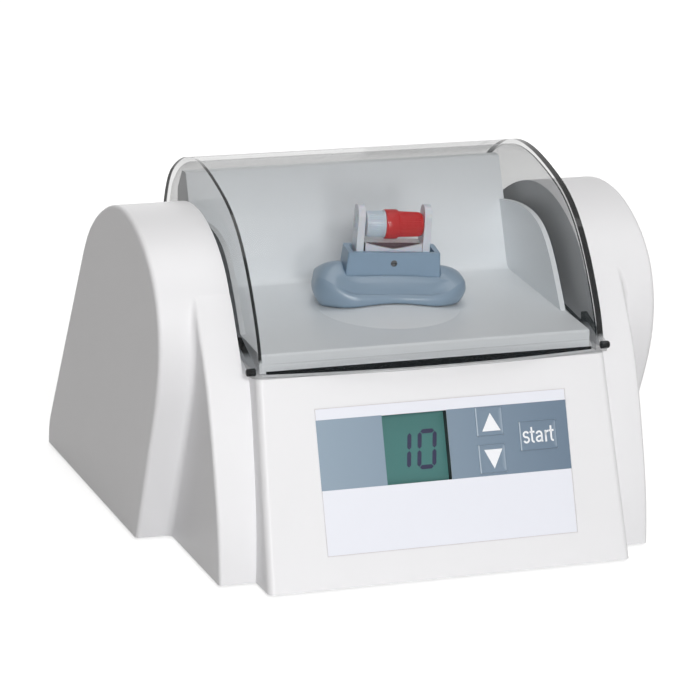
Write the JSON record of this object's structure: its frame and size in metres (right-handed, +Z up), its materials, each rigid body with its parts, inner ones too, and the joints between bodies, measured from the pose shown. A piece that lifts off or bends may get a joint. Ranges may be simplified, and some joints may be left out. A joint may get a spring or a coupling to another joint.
{
  "type": "dental amalgamator",
  "caption": "Bench dental amalgamator: a motor rocks a clipped capsule in a white casing under a clear hinged hood, with a sloping key panel and display.",
  "frame": {"origin": "middle of the base, at the feet's bottom", "axes": "+Z up, +Y to the back, +X to the right of someone facing the key panel"},
  "size_m": [0.235, 0.26, 0.168],
  "materials": {
    "white_plastic": "satin moulded",
    "base_grey": "moulded",
    "black_rubber": "matt",
    "boot_rubber": "soft matt",
    "steel": "turned",
    "label_print": "printed film",
    "black_plastic": "moulded",
    "clear_lens": "clear",
    "display_cell": "display cell",
    "key_pad": "soft film",
    "board_green": "solder mask",
    "component_black": "moulded parts",
    "clear_hood": "clear moulded",
    "cast_alloy": "cast",
    "motor_steel": "plated",
    "ferrite": "sintered",
    "copper": "turned",
    "carbon": "pressed",
    "fan_plastic": "moulded",
    "holder_grey": "moulded",
    "claw_white": "translucent moulded",
    "capsule_clear": "translucent moulded",
    "capsule_red": "moulded",
    "contact_brass": "plated",
    "fuse_glass": "clear tube",
    "core_iron": "laminated",
    "winding_tape": "taped",
    "ribbon_grey": "flat cable"
  },
  "bodies": {
    "housing": {"casing": "white_plastic", "base_plate": "base_grey", "rubber_feet": "black_rubber", "base_screws": "steel", "front_label": "label_print", "display_bezel": "black_plastic", "display_lens": "clear_lens", "display_module": "display_cell", "control_board": "board_green", "board_screws": "steel", "key_switches": "component_black", "board_parts": "component_black", "chamber_tub": "white_plastic", "tub_screws": "steel", "hinge_pins": "steel", "hood_sensor": "component_black", "chassis": "cast_alloy", "chassis_dampers": "black_rubber", "pivot_pin": "steel", "shaft_bearings": "steel", "motor_can": "motor_steel", "motor_end_caps": "cast_alloy", "motor_magnets": "ferrite", "motor_brushes": "carbon", "brush_holders": "contact_brass", "rear_plate": "black_plastic", "rear_screws": "steel", "mains_inlet": "black_plastic", "inlet_contacts": "contact_brass", "switch_bezel": "black_plastic", "power_board": "board_green", "power_parts": "component_black", "transformer_core": "core_iron", "transformer_winding": "winding_tape", "ribbon_cable": "ribbon_grey"},
    "hood": {"hood_shell": "clear_hood", "hood_seal": "black_rubber", "hood_buffers": "black_rubber", "hood_magnet": "steel"},
    "arm": {"swing_arm": "cast_alloy", "arm_boot": "boot_rubber", "holder_block": "holder_grey", "holder_screw": "steel", "clip_bar": "claw_white"},
    "rotor": {"crank": "steel", "crank_bearing": "steel", "motor_shaft": "steel", "rotor_core": "core_iron", "commutator": "copper", "cooling_fan": "fan_plastic"},
    "up_key_body": {"up_key": "key_pad"},
    "down_key_body": {"down_key": "key_pad"},
    "start_key_body": {"start_key": "key_pad"},
    "rocker": {"switch_rocker": "black_plastic"},
    "drawer": {"fuse_drawer": "black_plastic", "fuses": "fuse_glass"},
    "capsule": {"capsule_barrel": "capsule_clear", "capsule_cap": "capsule_red"},
    "left_claw_body": {"left_claw": "claw_white"},
    "right_claw_body": {"right_claw": "claw_white"}
  },
  "joints": [
    {"name": "hood_hinge", "type": "hinge", "parent": "housing", "child": "hood", "pos_m": [0, 0.047, 0.121], "axis": [-1, 0, 0], "range_deg": [0, 85]},
    {"name": "arm_swing", "type": "hinge", "parent": "housing", "child": "arm", "pos_m": [0, -0.0357, 0.0698], "axis": [0, 0.9962, 0.0872], "range_deg": [-6.9, 2.9], "deforming": ["arm_boot"]},
    {"name": "rotor_spin", "type": "hinge", "parent": "housing", "child": "rotor", "pos_m": [0, -0.03326, 0.04191], "axis": [0, 0.9962, 0.0872], "continuous": true},
    {"name": "up_key_press", "type": "slide", "parent": "housing", "child": "up_key_body", "axis": [0, 0.9521, -0.3057], "range_m": [0, 0.0005], "stiffness_N_per_m": 400},
    {"name": "down_key_press", "type": "slide", "parent": "housing", "child": "down_key_body", "axis": [0, 0.9521, -0.3057], "range_m": [0, 0.0005], "stiffness_N_per_m": 400},
    {"name": "start_key_press", "type": "slide", "parent": "housing", "child": "start_key_body", "axis": [0, 0.9521, -0.3057], "range_m": [0, 0.0005], "stiffness_N_per_m": 400},
    {"name": "rocker_tilt", "type": "hinge", "parent": "housing", "child": "rocker", "pos_m": [0.02, 0.0955, 0.0335], "axis": [-1, 0, 0], "range_deg": [0, 16]},
    {"name": "drawer_slide", "type": "slide", "parent": "housing", "child": "drawer", "axis": [0, 1, 0], "range_m": [0, 0.02]},
    {"name": "capsule_lift", "type": "slide", "parent": "arm", "child": "capsule", "axis": [0.0349, -0.0871, 0.9956], "range_m": [0, 0.008]},
    {"name": "left_claw_spread", "type": "hinge", "parent": "arm", "child": "left_claw_body", "pos_m": [-0.01324, -0.0364, 0.12545], "axis": [-0.1391, -0.9869, -0.0815], "range_deg": [0, 4], "stiffness_Nm_per_rad": 0.3},
    {"name": "right_claw_spread", "type": "hinge", "parent": "arm", "child": "right_claw_body", "pos_m": [0.01764, -0.04063, 0.12399], "axis": [0.1391, 0.9869, 0.0815], "range_deg": [0, 4], "stiffness_Nm_per_rad": 0.3}
  ]
}
